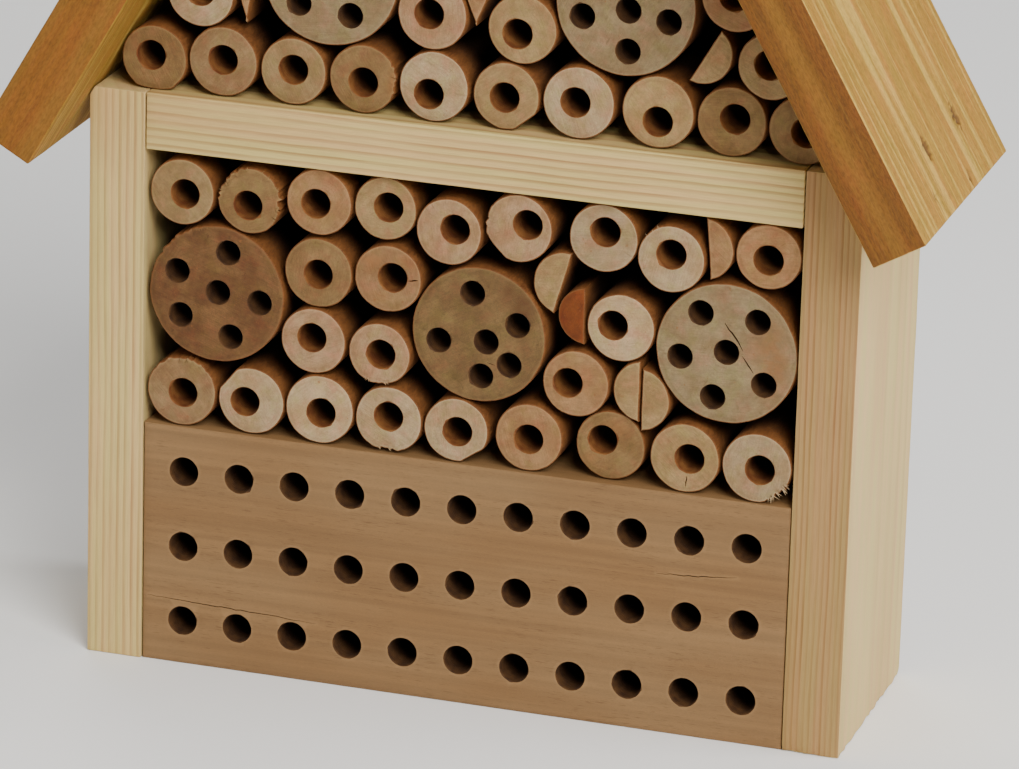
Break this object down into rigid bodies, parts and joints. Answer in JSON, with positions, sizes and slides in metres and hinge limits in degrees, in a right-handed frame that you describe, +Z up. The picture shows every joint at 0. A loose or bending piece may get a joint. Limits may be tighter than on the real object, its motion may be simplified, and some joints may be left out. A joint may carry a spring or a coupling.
{
  "type": "insect hotel",
  "caption": "Gabled wooden insect hotel: pine posts, crossbar and roof boards around a drilled nest block and packed drilled logs.",
  "frame": {"origin": "middle of the footprint of the whole object, roof included, on the ground under the posts", "axes": "+Z up, +Y to the back, +X to the right when looking at the nest holes"},
  "size_m": [0.2938, 0.1, 0.4281],
  "materials": {
    "planed_pine": "planed, unfinished, pale cream, matt",
    "stained_pine": "orange-brown translucent stain, matt to satin",
    "beech_block": "smooth planed, unfinished, pinkish tan, fine flecks",
    "plywood": "unfinished, matt",
    "stem_log": "sawn end grain, bark peeled off, matt",
    "disc_log": "sawn end grain, darker, matt",
    "split_log": "sawn end grain of split sticks, matt",
    "red_split_log": "resinous orange-red end grain, matt"
  },
  "bodies": {
    "root": {"back_panel": "plywood", "crossbar": "planed_pine", "gable_corner_stem": "stem_log", "gable_left_disc": "disc_log", "gable_right_disc": "disc_log", "gable_row_stem_1": "stem_log", "gable_row_stem_2": "stem_log", "gable_row_stem_3": "stem_log", "gable_row_stem_4": "stem_log", "gable_row_stem_5": "stem_log", "gable_row_stem_6": "stem_log", "gable_row_stem_7": "stem_log", "gable_row_stem_8": "stem_log", "gable_row_stem_9": "stem_log", "gable_split_log": "split_log", "gable_stem_1": "stem_log", "gable_stem_2": "stem_log", "gable_stem_3": "stem_log", "gable_stem_4": "stem_log", "gable_stem_5": "stem_log", "gable_stem_6": "stem_log", "gable_top_logs": "stem_log", "gable_wedge": "split_log", "left_disc": "disc_log", "left_post": "planed_pine", "left_roof_board": "stained_pine", "lower_stem_1": "stem_log", "lower_stem_2": "stem_log", "lower_stem_3": "stem_log", "lower_stem_4": "stem_log", "lower_stem_5": "stem_log", "lower_stem_6": "stem_log", "lower_stem_7": "stem_log", "lower_stem_8": "stem_log", "lower_stem_9": "stem_log", "middle_disc": "disc_log", "middle_stem_1": "stem_log", "middle_stem_2": "stem_log", "middle_stem_3": "stem_log", "middle_stem_4": "stem_log", "middle_stem_5": "stem_log", "middle_stem_6": "stem_log", "nest_block": "beech_block", "right_disc": "disc_log", "right_post": "planed_pine", "right_roof_board": "stained_pine", "split_log_1": "split_log", "split_log_2": "red_split_log", "split_log_3": "split_log", "split_log_4": "split_log", "split_log_5": "split_log", "upper_stem_1": "stem_log", "upper_stem_2": "stem_log", "upper_stem_3": "stem_log", "upper_stem_4": "stem_log", "upper_stem_5": "stem_log", "upper_stem_6": "stem_log", "upper_stem_7": "stem_log", "upper_stem_8": "stem_log", "upper_stem_9": "stem_log"}
  },
  "joints": []
}
